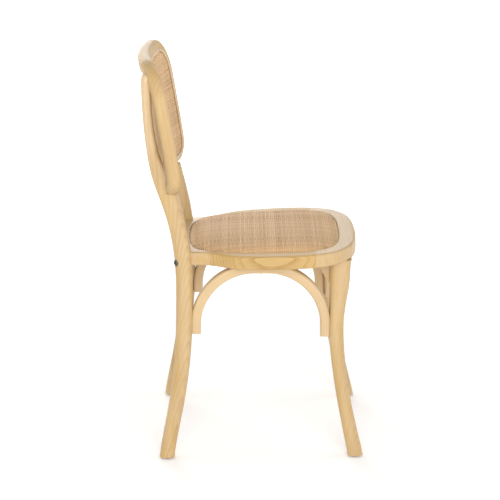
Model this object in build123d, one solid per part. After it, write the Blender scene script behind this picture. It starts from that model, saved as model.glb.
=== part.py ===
from build123d import *
import math
import os

# Dining chair in solid wood with bentwood braces, a woven drop-in seat pad and a
# woven back panel. Millimetres, +Z up, the sitter faces -Y, "left" and "right"
# are the sitter's: left is +X, right is -X. The floor is Z = 0.

# ----------------------------------------------------------------- dimensions
SEAT_TILT = 1.9            # seat falls towards the back, degrees
SEAT_REF_Y = -30.0         # point of the seat that keeps SEAT_HEIGHT
SEAT_HEIGHT = 460.5        # top of the wooden seat ring there
RING_T = 30.0              # thickness of the seat ring
REBATE = 14.0              # depth of the rebate that takes the pad
LEDGE = 16.0               # width of the ledge under the pad
PANEL_T = 9.0              # plywood under the foam
PAD_GAP = 1.6              # dark gap between pad and ring
WEAVE_T = 1.6              # thickness of the woven sheets
DOME = 15.0                # crown of the pad above the ring
NOTCH_X = 127.5            # corner notch of the ring for the rear post
NOTCH_Y = 134.0
FRONT_JOINT_Y = -140.0     # glue joints of the ring segments
REAR_JOINT_Y = 90.0
GLIDE_T = 4.0              # foot glide under each leg
GLIDE_D = 18.0

BACK_HALF_W = 198.0        # outer half width of the back frame
BACK_TOP = 877.5
BACK_BOTTOM = 588.0
BACK_R_TOP = 83.0          # outer corner radii of the back frame
BACK_R_BOT = 50.0
BACK_W = 20.0              # frame width, in its own plane
BACK_W_TOP = 28.0          # and that of its top rail
BACK_T = 27.4              # frame thickness
BACK_EDGE_R = 10.5         # rounding of the outer edges of the frame
BACK_REAR_R = 6.5          # and of the stiles' outer edges at the rear
BACK_FOOT_R = 13.2         # and of the lower edge of the frame
BACK_INNER_R = 2.2         # and of its inner edges
BACK_PLAN_R = 640.0        # hollow of the back, seen from above
BACK_LEAN = 0.18           # slope of the upper part of the back
BACK_LEAN_LOW = 0.10       # and of its foot
SPLINE_W = 5.0             # reed strip that holds the woven sheet
SPLINE_T = 3.2
WEAVE_DEPTH = 2.4          # woven sheet behind the front of the frame
WEAVE_PLAY = 0.35          # room on both faces of the sheet in its rebate

BRACE_T = 22.0             # bentwood strip, thickness and width
BRACE_W = 24.0
BRACE_EDGE_R = 5.0
SIDE_BRACE_X = 158.0
FRONT_BRACE_Y = -188.0
REAR_BRACE_Y = 148.0

BOLT_D = 8.0
BOLT_HEAD_D = 13.0
BOLT_ANGLE = 46.0          # bolt heads in from the outer rear corner
BOLT_Z = -22.0             # below the top of the ring

# Rear post, floor to tip: height, X, Y of the middle, width, depth, corner radius
REAR_POST = [
    (4.0, 209.4, 185.6, 33.0, 33.0, 13.0),
    (45.0, 203.1, 179.4, 32.6, 32.8, 13.0),
    (100.0, 194.6, 168.4, 32.6, 33.4, 13.0),
    (165.0, 184.7, 157.4, 33.2, 34.4, 13.0),
    (240.0, 173.2, 149.4, 34.2, 35.4, 13.0),
    (330.0, 159.4, 146.0, 35.4, 36.8, 12.8),
    (403.0, 148.2, 146.5, 36.0, 36.6, 12.0),
    (457.0, 141.0, 150.8, 36.0, 37.0, 11.5),
    (510.0, 138.2, 160.2, 36.0, 37.8, 11.5),
    (555.0, 138.4, 171.8, 36.0, 40.0, 11.5),
    (590.0, 140.4, 182.4, 35.2, 43.0, 11.0),
    (625.0, 144.0, 194.4, 34.2, 41.0, 11.0),
    (660.0, 148.4, 207.0, 33.0, 29.4, 10.0),
    (700.0, 153.4, 215.2, 31.4, 23.4, 9.6),
    (770.0, 160.2, 222.2, 29.2, 21.0, 9.2),
    (832.0, 164.8, 224.0, 27.6, 20.2, 9.0),
    (845.0, 165.4, 224.6, 24.4, 17.2, 8.2),
    (852.0, 165.7, 225.2, 17.6, 10.6, 5.0),
    (854.0, 165.7, 225.6, 10.0, 5.0, 2.3),
]

# Front leg, floor to seat
FRONT_LEG = [
    (4.0, 199.4, -230.4, 33.0, 33.6, 13.0),
    (45.0, 193.6, -221.8, 32.4, 32.2, 12.8),
    (90.0, 187.2, -212.0, 32.0, 30.8, 12.6),
    (140.0, 180.1, -202.6, 31.6, 30.0, 12.4),
    (200.0, 171.5, -193.6, 31.8, 30.4, 12.4),
    (260.0, 163.0, -188.2, 32.2, 31.6, 12.4),
    (310.0, 155.8, -188.2, 33.0, 33.0, 12.4),
    (350.0, 150.1, -191.3, 34.4, 38.2, 12.4),
    (395.0, 143.7, -194.8, 36.4, 44.4, 12.4),
]
FRONT_LEG_TOP = (138.9, -196.2, 37.5, 47.4, 12.4)   # against the ring's underside
TENON_X, TENON_Y, TENON_D, TENON_L = 138.6, -194.6, 24.0, 22.0

# Half outlines of the seat, front middle to rear middle
RING_OUTER = [(0, -235), (60, -233), (105, -228), (133, -221), (152.5, -211.5),
              (170.5, -200), (184.5, -186), (195, -169.5), (202, -152), (207.5, -130),
              (210.8, -105), (211.4, -75), (210.4, -45), (207.3, -15), (201.5, 15),
              (193.2, 39), (186, 50.5), (177.8, 62), (169.4, 73.5), (162.4, 84.5),
              (157.6, 95), (154.8, 106), (153.6, 119), (152, 133), (144, 154),
              (118, 166.5), (60, 171), (0, 172)]
PAD_OUTER = [(0, -198.5), (60, -197.5), (105, -192.5), (135, -183), (157, -165),
             (170.5, -139), (176, -100), (176, -50), (173, -5), (167, 38),
             (159.5, 66), (150.5, 87), (138, 106), (121, 121), (103, 128.5), (68, 135), (0, 138)]

os.makedirs("parts", exist_ok=True)
NODES = {}


# -------------------------------------------------------------------- helpers
def full_outline(half, inset=0.0):
    """Closed list of outline points, moved inwards by inset."""
    pts = [(float(x), float(y)) for x, y in half]
    pts = pts + [(-x, y) for x, y in reversed(pts[1:-1])]
    if not inset:
        return pts
    out = []
    n = len(pts)
    for i in range(n):
        (x0, y0), (x1, y1) = pts[i - 1], pts[(i + 1) % n]
        tx, ty = x1 - x0, y1 - y0
        s = math.hypot(tx, ty)
        out.append((pts[i][0] - ty / s * inset, pts[i][1] + tx / s * inset))
    return out


def outline_face(half, inset=0.0, z=0.0):
    """Smooth closed face in the seat's own frame."""
    pts = full_outline(half, inset)
    edge = Edge.make_spline([Vector(x, y - SEAT_REF_Y, z) for x, y in pts], periodic=True)
    return Face(Wire([edge]))


def prism(half, z0, z1, inset=0.0):
    return Solid.extrude(outline_face(half, inset, z0), Vector(0, 0, z1 - z0))


SEAT = Location((0, SEAT_REF_Y, SEAT_HEIGHT), (-SEAT_TILT, 0, 0))


def seat_z(y, dz=0.0):
    """World height of the ring's top at a world Y, dz along the seat's normal."""
    return SEAT_HEIGHT - math.tan(math.radians(SEAT_TILT)) * (y - SEAT_REF_Y) + dz


def mirror_x(shape):
    return mirror(shape, about=Plane.YZ)


def solid_of(shape):
    """The single solid of a boolean result."""
    s = shape.solids()
    return max(s, key=lambda q: q.volume)


def minus(shape, *tools):
    for t in tools:
        shape = shape - t
    return solid_of(shape)


def loft_rr(rows, cap=None):
    """Member through level rounded sections, the last one against the seat ring."""
    wires = []
    for z, x, y, w, d, r in rows:
        wires.append(Pos(x, y, z) * RectangleRounded(w, d, r))
    if cap:
        x, y, w, d, r = cap
        wires.append(SEAT * Pos(x, y - SEAT_REF_Y, -RING_T) * RectangleRounded(w, d, r))
    return Solid.make_loft([w.faces()[0].outer_wire() for w in wires])


def rod(p0, p1, d):
    """Straight round bar between two points."""
    a, b = Vector(*p0), Vector(*p1)
    pl = Plane(origin=a, z_dir=(b - a))
    return Solid.make_cylinder(d / 2.0, (b - a).length, pl)


def screw(p_head, p_tip, d=4.0, head_d=8.0, head_l=3.4):
    """Countersunk wood screw from the face of its head to its tip."""
    a, b = Vector(*p_head), Vector(*p_tip)
    pl = Plane(origin=a, z_dir=(b - a))
    length = (b - a).length
    head = Solid.make_cone(head_d / 2.0, d / 2.0, head_l, pl)
    shank = Solid.make_cylinder(d / 2.0, length - 6.0, pl)
    tip_pl = Plane(origin=a + (b - a).normalized() * (length - 6.0), z_dir=(b - a))
    tip = Solid.make_cone(d / 2.0, 0.6, 6.0, tip_pl)
    body = solid_of(head + shank + tip)
    # cross recess in the head
    recess = Box(head_d * 0.55, 1.1, 2.2) + Box(1.1, head_d * 0.55, 2.2)
    return minus(body, pl.location * recess)


def put(name, *solids):
    NODES[name] = list(solids)


# -------------------------------------------------------- back: shape of frame
def back_base(z):
    """Front of the frame at its outer side edge: upright below, leaning above."""
    u = z - 650.0
    upper = 0.5 * BACK_LEAN * (u + math.sqrt(u * u + 35.0 ** 2))
    lower = 0.5 * BACK_LEAN_LOW * (u - math.sqrt(u * u + 25.0 ** 2))
    return 150.6 + upper + lower


def back_sag(x):
    return BACK_PLAN_R - math.sqrt(BACK_PLAN_R ** 2 - x * x)


def back_point(x, z, depth=0.0):
    """Point of the back, depth behind its front surface, and the normal there."""
    y = back_base(z) + back_sag(194.0) - back_sag(x)
    h = 0.5
    dyz = (back_base(z + h) - back_base(z - h)) / (2 * h)
    dyx = -(back_sag(x + h) - back_sag(x - h)) / (2 * h)
    n = Vector(-dyx, 1.0, -dyz).normalized()
    return Vector(x, y, z) + n * depth, n


def back_path(inset, drop):
    """Rounded outline of the back in X and Z, counter-clockwise from the front,
    moved in by inset, and at the top by drop more."""
    a = BACK_HALF_W - inset
    zt, zb = BACK_TOP - inset - drop, BACK_BOTTOM + inset
    rt, rb = BACK_R_TOP - inset - drop / 2, BACK_R_BOT - inset
    return a, zt, zb, rt, rb


def stile_stations(inset, drop):
    """Left stile with both corners, from the top rail's end to the bottom rail's."""
    a, zt, zb, rt, rb = back_path(inset, drop)
    st = []
    for k in range(5):
        t = math.radians(90 - 22.5 * k)
        st.append((a - rt + rt * math.cos(t), zt - rt + rt * math.sin(t)))
    z0, z1 = zt - rt, zb + rb
    for k in range(1, 8):
        st.append((a, z0 + (z1 - z0) * k / 8.0))
    for k in range(5):
        t = math.radians(-22.5 * k)
        st.append((a - rb + rb * math.cos(t), zb + rb + rb * math.sin(t)))
    return st


def stile_blend(at_top, along_side, at_bottom):
    """Value at each station of a stile, eased through the two corners."""
    top = [along_side + (at_top - along_side) * math.cos(math.radians(22.5 * k)) ** 2 for k in range(5)]
    low = [along_side + (at_bottom - along_side) * math.sin(math.radians(22.5 * k)) ** 2 for k in range(5)]
    return top + [along_side] * 7 + low


def rail_stations(inset, drop, top):
    a, zt, zb, rt, rb = back_path(inset, drop)
    e, z = (a - rt, zt) if top else (a - rb, zb)
    return [(-e + 2 * e * k / 4.0, z) for k in range(5)]


def along(stations, depth, ends):
    """Section planes through stations: x across the strip, y to its rear."""
    planes = []
    pts = [back_point(x, z, depth) for x, z in stations]
    for i, (p, n) in enumerate(pts):
        if i == 0:
            t = ends[0]
        elif i == len(pts) - 1:
            t = ends[1]
        else:
            t = (pts[i + 1][0] - pts[i - 1][0])
        t = (t - n * t.dot(n)).normalized()
        planes.append(Plane(origin=p, x_dir=n.cross(t), z_dir=t))
    return planes


def section(w, t, r_out, r_rear, r_in, inner):
    """Section of the frame, inner is the sign of x towards the opening."""
    sk = Rectangle(w, t)
    sk = fillet([v for v in sk.vertices() if v.X * inner > 0], radius=r_in)
    for sign, r in ((-1, r_out), (1, r_rear)):
        outer = [v for v in sk.vertices() if v.X * inner < -w / 2 + 0.01 and v.Y * sign > t / 2 - 0.01]
        sk = fillet(outer, radius=r)
    return sk


def strip(stations, depth, w, t, r, ends, inner=1):
    wires = []
    for k, pl in enumerate(along(stations, depth, ends)):
        wk = w[k] if isinstance(w, list) else w
        if isinstance(r, tuple):
            front, rear = (q[k] if isinstance(q, list) else q for q in r[:2])
            sec = section(wk, t, front, rear, r[2], inner)
        else:
            sec = RectangleRounded(wk, t, r) if r else Rectangle(wk, t)
        wires.append((pl.location * sec).faces()[0].outer_wire())
    return Solid.make_loft(wires)


def x_tangent(x, z, depth):
    """Direction of the frame where a rail runs straight along X."""
    a, _ = back_point(x - 0.5, z, depth)
    b, _ = back_point(x + 0.5, z, depth)
    return (b - a).normalized()


TOP_DROP = BACK_W_TOP - BACK_W


def frame_strips(inset, depth, w, t, r, drop=TOP_DROP, w_top=None, r_stile=None, r_low=None):
    """Top rail, bottom rail, left stile with shared end sections."""
    st = stile_stations(inset, drop)
    top = rail_stations(inset, drop, True)
    bot = rail_stations(inset, drop, False)
    tl = x_tangent(st[0][0], st[0][1], depth)
    bl = x_tangent(st[-1][0], st[-1][1], depth)
    tr = x_tangent(-st[0][0], st[0][1], depth)
    br = x_tangent(-st[-1][0], st[-1][1], depth)
    stile = strip(st, depth, stile_blend(w_top or w, w, w), t, r_stile or r, (tl, bl * -1.0))
    top_rail = strip(top, depth, w_top or w, t, r, (tr, tl))
    bot_rail = strip(bot, depth, w, t, r_low or r, (br, bl), -1)
    return top_rail, bot_rail, stile


top_rail, bottom_rail, stile_l = frame_strips(
    BACK_W / 2, BACK_T / 2, BACK_W, BACK_T, (BACK_EDGE_R, BACK_EDGE_R, BACK_INNER_R), TOP_DROP / 2, BACK_W_TOP,
    (stile_blend(BACK_EDGE_R, BACK_EDGE_R, BACK_FOOT_R), stile_blend(BACK_EDGE_R, BACK_REAR_R, BACK_FOOT_R),
     BACK_INNER_R), (BACK_FOOT_R, BACK_FOOT_R, BACK_INNER_R))
sp_depth = WEAVE_DEPTH - 0.05 - SPLINE_T / 2
sp_top, sp_bot, sp_l = frame_strips(BACK_W - SPLINE_W / 2, sp_depth, SPLINE_W - 0.3, SPLINE_T, 1.2)

# woven sheet of the back: a thin curved sheet trimmed to the rebate
def sheet_section(x):
    """Upright slice of the sheet, in a plane of constant X."""
    front, rear = [], []
    for j in range(11):
        z = 592.0 + 280.0 * j / 10.0
        p, n = back_point(x, z, 0.0)
        front.append(Vector(x, p.Y + (WEAVE_DEPTH + WEAVE_PLAY) / n.Y, z))
        rear.append(Vector(x, p.Y + (WEAVE_DEPTH + WEAVE_T - WEAVE_PLAY) / n.Y, z))
    return Wire([Edge.make_spline(front), Edge.make_line(front[-1], rear[-1]),
                 Edge.make_spline(list(reversed(rear))), Edge.make_line(rear[0], front[0])])


sheet = Solid.make_loft([sheet_section(-190.0 + 380.0 * i / 10.0) for i in range(11)])


def back_outline_face(inset, y):
    a, zt, zb, rt, rb = back_path(inset, TOP_DROP)
    with BuildSketch(Plane(origin=(0, y, 0), x_dir=(1, 0, 0), z_dir=(0, -1, 0))) as sk:
        with BuildLine():
            Line((-(a - rt), zt), (a - rt, zt))
            RadiusArc((a - rt, zt), (a, zt - rt), rt)
            Line((a, zt - rt), (a, zb + rb))
            RadiusArc((a, zb + rb), (a - rb, zb), rb)
            Line((a - rb, zb), (-(a - rb), zb))
            RadiusArc((-(a - rb), zb), (-a, zb + rb), rb)
            Line((-a, zb + rb), (-a, zt - rt))
            RadiusArc((-a, zt - rt), (-(a - rt), zt), rt)
        make_face()
    return sk.sketch


trim = Solid.extrude(back_outline_face(BACK_W - SPLINE_W + 1.3, 60.0).faces()[0], Vector(0, 260, 0))
back_weave = solid_of(sheet & trim)

# one dowel in each joint of the frame
back_dowels = []
for top_side in (True, False):
    st = stile_stations(BACK_W / 2, TOP_DROP / 2)
    x, z = st[0] if top_side else st[-1]
    t = x_tangent(x, z, BACK_T / 2)
    for off in ((0.0,) if top_side else (-4.0,)):
        p, n = back_point(x, z, BACK_T / 2 + 2.5)
        up = n.cross(t)
        c = p + up * off
        back_dowels.append(rod(tuple(c - t * 16), tuple(c + t * 14), 6.0))
back_dowels = back_dowels + [mirror_x(d) for d in back_dowels]

sp_r = mirror_x(sp_l)
stile_r = mirror_x(stile_l)
spline_set = [sp_top, sp_l, sp_bot, sp_r]

# rebate along the inner front edge of the frame, for the sheet and its strip
reb_t = WEAVE_DEPTH + WEAVE_T + 0.4 + 4.0
rb_top, rb_bot, rb_l = frame_strips(BACK_W - SPLINE_W / 2 + 1.0, reb_t / 2 - 4.0, SPLINE_W + 2.2, reb_t, 0.0)
rb_r = mirror_x(rb_l)
rebate_set = [rb_top, rb_l, rb_bot, rb_r]

# lap cut in the front of the left post: it follows the rear of the frame
lap_x = 143.0
lap_pts = [(110.0, BACK_BOTTOM - 2.5), (168.0, BACK_BOTTOM - 2.5), (171.5, BACK_BOTTOM - 0.2)]
for z in (BACK_BOTTOM - 0.2, 610.0, 635.0, 660.0, 690.0):
    lap_pts.append((back_point(lap_x, z, BACK_T)[0].Y - 0.1, z))
lap_pts.append((110.0, 690.0))
lap_slope = back_point(lap_x + 20, 620.0, BACK_T)[0] - back_point(lap_x - 20, 620.0, BACK_T)[0]
lap_dir = Vector(lap_slope.X, lap_slope.Y, 0).normalized()
with BuildSketch(Plane(origin=(lap_x, 0, 0), x_dir=(0, 1, 0), z_dir=(1, 0, 0))) as lap_sk:
    with BuildLine():
        Polyline(*lap_pts, close=True)
    make_face()
lap_face = lap_sk.sketch.faces()[0].moved(Location(-lap_dir * 50.0))
lap = Solid.extrude(lap_face, lap_dir * 100.0)

# ---------------------------------------------------------------- seat pieces
ring = prism(RING_OUTER, -RING_T, 0.0)
ring = ring.fillet(6.0, [e for e in ring.edges() if e.center().Z > -1.0 and e.length > 500])
ring = ring.fillet(3.5, [e for e in ring.edges() if e.center().Z < -RING_T + 0.5 and e.length > 500])
rebate = prism(PAD_OUTER, -REBATE, 20.0)
opening = prism(PAD_OUTER, -RING_T - 5.0, 20.0, LEDGE)
notch = Box(200, 200, 80, align=(Align.MIN, Align.MIN, Align.CENTER))
notch = Pos(NOTCH_X, NOTCH_Y - SEAT_REF_Y, -RING_T / 2) * notch
ring = minus(ring, rebate, opening, notch, mirror_x(notch))
big = 600.0


def keep_between(y0, y1, left=None):
    b = Box(2 * big, y1 - y0, 200, align=(Align.CENTER, Align.MIN, Align.CENTER))
    b = Pos(0, y0 - SEAT_REF_Y, 0) * b
    if left is True:
        b = b & Pos(big / 2, 0, 0) * Box(big, 2 * big, 300)
    if left is False:
        b = b & Pos(-big / 2, 0, 0) * Box(big, 2 * big, 300)
    return b


front_rail = solid_of(ring & keep_between(-400, FRONT_JOINT_Y))
rear_rail = solid_of(ring & keep_between(REAR_JOINT_Y, 400))
side_l = solid_of(ring & keep_between(FRONT_JOINT_Y, REAR_JOINT_Y, True))

ring_dowels = []
for x, y in ((176.0, FRONT_JOINT_Y), (191.0, FRONT_JOINT_Y), (148.0, REAR_JOINT_Y)):
    yl = y - SEAT_REF_Y
    ring_dowels.append(rod((x, yl - 18, -22.0), (x, yl + 18, -22.0), 8.0))
ring_dowels = ring_dowels + [mirror_x(d) for d in ring_dowels]

# drop-in pad: plywood, crowned foam, woven cover pulled over both
panel = prism(PAD_OUTER, -REBATE, -REBATE + PANEL_T, PAD_GAP + WEAVE_T)


def crowned(extra, z0):
    """Crowned pad body, extra further inside than the outer skin."""
    base = full_outline(PAD_OUTER, PAD_GAP + extra)
    rows = [(z0, 0.0), (0.5, 0.0), (5.0, 3.0), (9.0, 10.0), (12.0, 24.0), (14.0, 46.0), (DOME, 84.0)]
    wires = []
    for z, ins in rows:
        zz = z - (extra if z > 0.4 else 0.0)
        k = 1.0 - ins / 172.0
        pts = [Vector(x * k, (y + 31.0) * k - 31.0 - SEAT_REF_Y, zz) for x, y in base]
        wires.append(Wire([Edge.make_spline(pts, periodic=True)]))
    return Solid.make_loft(wires, True)


pad_skin = crowned(0.0, -REBATE + 0.2)
foam = crowned(WEAVE_T, -REBATE + PANEL_T)
cover = minus(pad_skin, crowned(WEAVE_T, -REBATE - 1.0))
print("pad valid", pad_skin.is_valid, foam.is_valid, cover.is_valid)

pad_screws = []
for x, y in ((48, -190.3), (-48, -190.3), (166.5, -60), (-166.5, -60), (152.5, 68), (-152.5, 68)):
    yl = y - SEAT_REF_Y
    pad_screws.append(screw((x, yl, -RING_T - 0.0), (x, yl, -REBATE + 6.0)))

# post bolt, in the seat's own frame, left side
bolt_c = Vector(140.6, 150.2 - SEAT_REF_Y, BOLT_Z)
bolt_dir = Vector(-math.cos(math.radians(BOLT_ANGLE)), -math.sin(math.radians(BOLT_ANGLE)), 0)
b_head = bolt_c - bolt_dir * 16.5
bolt_pl = Plane(origin=b_head, z_dir=bolt_dir)
washer_pl = Plane(origin=b_head, z_dir=bolt_dir)
washer = minus(Solid.make_cylinder(8.0, 1.6, washer_pl), Solid.make_cylinder(BOLT_D / 2, 1.6, washer_pl))
head_pl = Plane(origin=b_head - bolt_dir * 5.0, z_dir=bolt_dir)
bolt_head = Solid.make_cylinder(BOLT_HEAD_D / 2, 5.0, head_pl)
bolt_head = bolt_head.fillet(1.2, [e for e in bolt_head.edges()
                                   if e.geom_type == GeomType.CIRCLE
                                   and (e.arc_center - head_pl.origin).length < 1.0])
socket = Solid.extrude((head_pl.location * RegularPolygon(2.9, 6)).faces()[0], bolt_dir * 3.0)
bolt = minus(solid_of(bolt_head + Solid.make_cylinder(BOLT_D / 2, 60.0, bolt_pl)), socket)
nut_pl = Plane(origin=bolt_c + bolt_dir * 26.5, z_dir=bolt_dir)
insert = minus(Solid.make_cylinder(6.0, 14.5, nut_pl), Solid.make_cylinder(BOLT_D / 2, 14.5, nut_pl))
bore = Solid.make_cylinder(8.3, 60.0, Plane(origin=b_head + bolt_dir * 1.6, z_dir=bolt_dir * -1.0))
post_dowel = rod((143.0, NOTCH_Y - SEAT_REF_Y - 16, -9.0), (143.0, NOTCH_Y - SEAT_REF_Y + 16, -9.0), 8.0)
bolt_clear = rod(tuple(bolt_c), tuple(bolt_c + bolt_dir * 60.0), BOLT_D)

# to world
front_rail, rear_rail, side_l = SEAT * front_rail, SEAT * rear_rail, SEAT * side_l
side_r = mirror_x(side_l)
ring_dowels = [SEAT * d for d in ring_dowels]
panel, foam, cover = SEAT * panel, SEAT * foam, SEAT * cover
pad_screws = [SEAT * s for s in pad_screws]
bolt, washer, insert, bore = SEAT * bolt, SEAT * washer, SEAT * insert, SEAT * bore
post_dowel, bolt_clear = SEAT * post_dowel, SEAT * bolt_clear

# half space above the ring's underside
above = SEAT * (Pos(0, 0, -RING_T + 500) * Box(1200, 1200, 1000))

# ------------------------------------------------------------------ legs
front_leg = loft_rr(FRONT_LEG, FRONT_LEG_TOP)
tenon = Solid.make_cylinder(TENON_D / 2, TENON_L + 12.0, Plane(
    origin=(TENON_X, TENON_Y - SEAT_REF_Y, -RING_T - 12.0), z_dir=(0, 0, 1)))
front_leg = solid_of(front_leg + SEAT * tenon)
tenon_w = SEAT * tenon

rear_post = loft_rr(REAR_POST)
rear_post = minus(rear_post, lap, stile_l, bottom_rail)

# foot glides with their nails
glides = []
for x, y in ((199.6, -230.8), (-199.6, -230.8), (209.6, 185.8), (-209.6, 185.8)):
    disc = Solid.make_cylinder(GLIDE_D / 2, GLIDE_T, Plane(origin=(x, y, 0), z_dir=(0, 0, 1)))
    disc = disc.fillet(1.5, [e for e in disc.edges() if e.center().Z < 0.1])
    nail = Solid.make_cylinder(1.6, 16.0, Plane(origin=(x, y, GLIDE_T - 0.5), z_dir=(0, 0, 1)))
    glides.append(solid_of(disc + nail))

# ------------------------------------------------------------------ braces
def brace(points, radii, plane_at, x_dir):
    """Bentwood strip along straight runs and tangent arcs."""
    with BuildLine() as ln:
        FilletPolyline(*points, radius=radii)
    path = ln.wires()[0] if ln.wires() else ln.line
    start = Vector(*points[0])
    d = Vector(*points[1]) - start
    pl = Plane(origin=start, x_dir=x_dir, z_dir=d)
    sec = pl.location * RectangleRounded(BRACE_W, BRACE_T, BRACE_EDGE_R)
    return solid_of(sweep(sec, path=path))


half_t = BRACE_T / 2
sb_x = SIDE_BRACE_X
side_brace = brace([(sb_x, 121.6, 274.0), (sb_x, 119.0, 422.0), (sb_x, -161.6, 422.0), (sb_x, -163.2, 267.0)],
                   [130.0, 128.0], None, (1, 0, 0))
cf = 426.0
front_brace = brace([(138.4, FRONT_BRACE_Y, 268.0), (116.6, FRONT_BRACE_Y, cf), (-116.6, FRONT_BRACE_Y, cf),
                     (-138.4, FRONT_BRACE_Y, 268.0)], [104.0, 104.0], None, (0, 1, 0))
cr = 417.0
rear_brace = brace([(141.6, REAR_BRACE_Y, 274.0), (119.4, REAR_BRACE_Y, cr), (-119.4, REAR_BRACE_Y, cr),
                    (-141.6, REAR_BRACE_Y, 274.0)], [104.0, 104.0], None, (0, 1, 0))

legs = [front_leg, rear_post, mirror_x(front_leg), mirror_x(rear_post)]
side_brace = minus(side_brace, above, front_leg, rear_post)
front_brace = minus(front_brace, above, front_leg, legs[2])
rear_brace = minus(rear_brace, above, rear_post, legs[3])

# triangular glue block behind each front leg, under the ring
cb_x0, cb_x1 = 121.0, 143.0
with BuildSketch(Plane(origin=(cb_x0, 0, 0), x_dir=(0, 1, 0), z_dir=(1, 0, 0))) as tri:
    with BuildLine():
        Polyline((-178.0, 450.0), (-139.0 + 9.0, 450.0), (-139.0, 434.0), (-172.5, 381.0), (-178.0, 381.0), close=True)
    make_face()
block = Solid.extrude(tri.sketch.faces()[0], Vector(cb_x1 - cb_x0, 0, 0))
block = minus(block, above, front_leg, front_brace, side_brace)

# ------------------------------------------------------------------ fasteners
# brace ends into the legs
end_screws = []
end_screws.append(screw((sb_x, 110.3, 288.0), (sb_x, 146.0, 288.0)))
end_screws.append(screw((sb_x, -152.0, 282.0), (sb_x, -187.0, 282.0)))
end_screws.append(screw((125.6, FRONT_BRACE_Y, 280.0), (160.0, FRONT_BRACE_Y, 284.0)))
end_screws.append(screw((128.8, REAR_BRACE_Y, 286.0), (164.0, REAR_BRACE_Y, 290.0)))
end_screws_r = [mirror_x(s) for s in end_screws]
# crowns into the ring
crown = []
for x, y, zc in ((sb_x + 6.0, -21.0, 422.0 - half_t), (0.0, FRONT_BRACE_Y, cf - half_t), (0.0, REAR_BRACE_Y, cr - half_t)):
    crown.append(screw((x, y, zc), (x, y, seat_z(y) - RING_T + 14.0)))
crown_side_r = mirror_x(crown[0])
block_screw = screw((132.0, -156.0, 407.0), (132.0, -156.0, seat_z(-156.0) - RING_T + 13.0))
block_cut = Solid.make_cylinder(4.0, 60.0, Plane(origin=(132.0, -156.0, 407.0), z_dir=(0, 0, -1)))
block = minus(block, block_screw, block_cut)

# posts into the back frame, from behind, under wooden plugs
back_screws, plugs, plug_bores = [], [], []
for x, z in ((168.0, 840.0), (141.6, 594.2)):
    p, n = back_point(x, z, BACK_T)
    head_y = p.Y + 9.0
    back_screws.append(screw((x, head_y, z), (x, p.Y - 16.5, z)))
    plugs.append(Solid.make_cylinder(4.6, 40.0, Plane(origin=(x, head_y, z), z_dir=(0, 1, 0))))
plug_bores = [p for p in plugs]
plugs = [solid_of(p & rear_post) for p in plugs]

# ------------------------------------------------------- cut joints, both sides
ring_tools_l = [tenon_w, bolt_clear, insert, post_dowel]
side_l = minus(side_l, *[d for d in ring_dowels if d.center().X > 0], *pad_screws[2::2], crown[0])
side_r = mirror_x(side_l)
front_rail = minus(front_rail, tenon_w, mirror_x(tenon_w), *[d for d in ring_dowels if d.center().Y < 0],
                   pad_screws[0], pad_screws[1], crown[1], block_screw, mirror_x(block_screw))
rear_rail = minus(rear_rail, *[d for d in ring_dowels if d.center().Y > 0], crown[2],
                  bolt, insert, post_dowel, mirror_x(bolt), mirror_x(insert), mirror_x(post_dowel))
panel = minus(panel, *pad_screws)

rear_post = minus(rear_post, rear_rail, bolt, washer, bore, post_dowel, end_screws[0], end_screws[3],
                  *back_screws, *plug_bores, glides[2])
front_leg = minus(front_leg, end_screws[1], end_screws[2], glides[0])
side_brace = minus(side_brace, end_screws[0], end_screws[1], crown[0])
front_brace = minus(front_brace, end_screws[2], end_screws_r[2], crown[1])
rear_brace = minus(rear_brace, end_screws[3], end_screws_r[3], crown[2])

frame_tools = rebate_set + back_dowels
top_rail = minus(top_rail, *frame_tools)
bottom_rail = minus(bottom_rail, *frame_tools, back_screws[1], mirror_x(back_screws[1]))
stile_l = minus(stile_l, *frame_tools, *back_screws)
stile_r = mirror_x(stile_l)

# --------------------------------------------------------------------- nodes
put("seat_front_rail", front_rail)
put("seat_rear_rail", rear_rail)
put("seat_side_rail_left", side_l)
put("seat_side_rail_right", side_r)
put("seat_ring_dowels", *ring_dowels)
put("seat_panel", panel)
put("seat_panel_screws", *pad_screws)
put("seat_foam", foam)
put("seat_woven_cover", cover)
put("rear_post_left", rear_post)
put("rear_post_right", mirror_x(rear_post))
put("front_leg_left", front_leg)
put("front_leg_right", mirror_x(front_leg))
put("side_brace_left", side_brace)
put("side_brace_right", mirror_x(side_brace))
put("front_brace", front_brace)
put("rear_brace", rear_brace)
put("brace_end_screws", *end_screws, *end_screws_r)
put("brace_crown_screws", crown[0], crown_side_r, crown[1], crown[2])
put("corner_block_left", block)
put("corner_block_right", mirror_x(block))
put("corner_block_screws", block_screw, mirror_x(block_screw))
put("back_top_rail", top_rail)
put("back_bottom_rail", bottom_rail)
put("back_stile_left", stile_l)
put("back_stile_right", stile_r)
put("back_dowels", *back_dowels)
put("back_woven_panel", back_weave)
put("back_spline", *spline_set)
put("back_screws", *back_screws, *[mirror_x(s) for s in back_screws])
put("back_screw_plugs", *plugs, *[mirror_x(s) for s in plugs])
put("post_bolts", bolt, mirror_x(bolt))
put("post_bolt_washers", washer, mirror_x(washer))
put("post_insert_nuts", insert, mirror_x(insert))
put("post_dowels", post_dowel, mirror_x(post_dowel))
put("foot_glides", *glides)

# the origin is the middle of the chair's footprint, on the floor
front_y = front_leg.bounding_box().min.Y
rear_y = top_rail.bounding_box().max.Y
shift = Pos(0, -(front_y + rear_y) / 2.0, 0)
print("front %.2f rear %.2f shift %.3f" % (front_y, rear_y, -(front_y + rear_y) / 2.0))

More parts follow.
